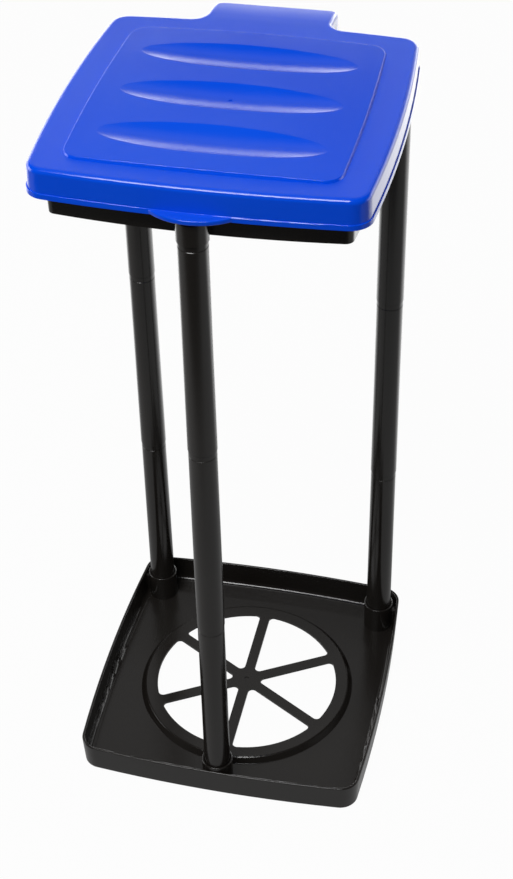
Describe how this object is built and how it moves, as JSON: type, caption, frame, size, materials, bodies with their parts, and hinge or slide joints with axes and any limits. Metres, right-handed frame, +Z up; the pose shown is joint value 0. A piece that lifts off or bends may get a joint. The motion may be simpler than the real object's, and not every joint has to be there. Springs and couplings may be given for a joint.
{
  "type": "bin bag holder",
  "caption": "Knock-down floor stand that carries a bin bag on a hinged-lid frame above a square drip tray.",
  "frame": {"origin": "on the floor, under the middle of the base tray", "axes": "+Z up; +Y to the back, where the lid is hinged; +X to the right seen from the front"},
  "size_m": [0.2778, 0.3221, 0.66],
  "materials": {
    "stand_plastic": "satin",
    "lid_plastic": "satin grain on top, glossy edge"
  },
  "bodies": {
    "stand": {"base_tray": "stand_plastic", "front_lower_tube": "stand_plastic", "front_middle_tube": "stand_plastic", "front_upper_tube": "stand_plastic", "left_lower_tube": "stand_plastic", "left_middle_tube": "stand_plastic", "left_upper_tube": "stand_plastic", "right_lower_tube": "stand_plastic", "right_middle_tube": "stand_plastic", "right_upper_tube": "stand_plastic", "bag_frame": "stand_plastic"},
    "lid": {"lid": "lid_plastic"}
  },
  "joints": [
    {"name": "lid_hinge", "type": "hinge", "parent": "stand", "child": "lid", "pos_m": [0, 0.162, 0.642], "axis": [-1, 0, 0], "range_deg": [0, 105]}
  ]
}
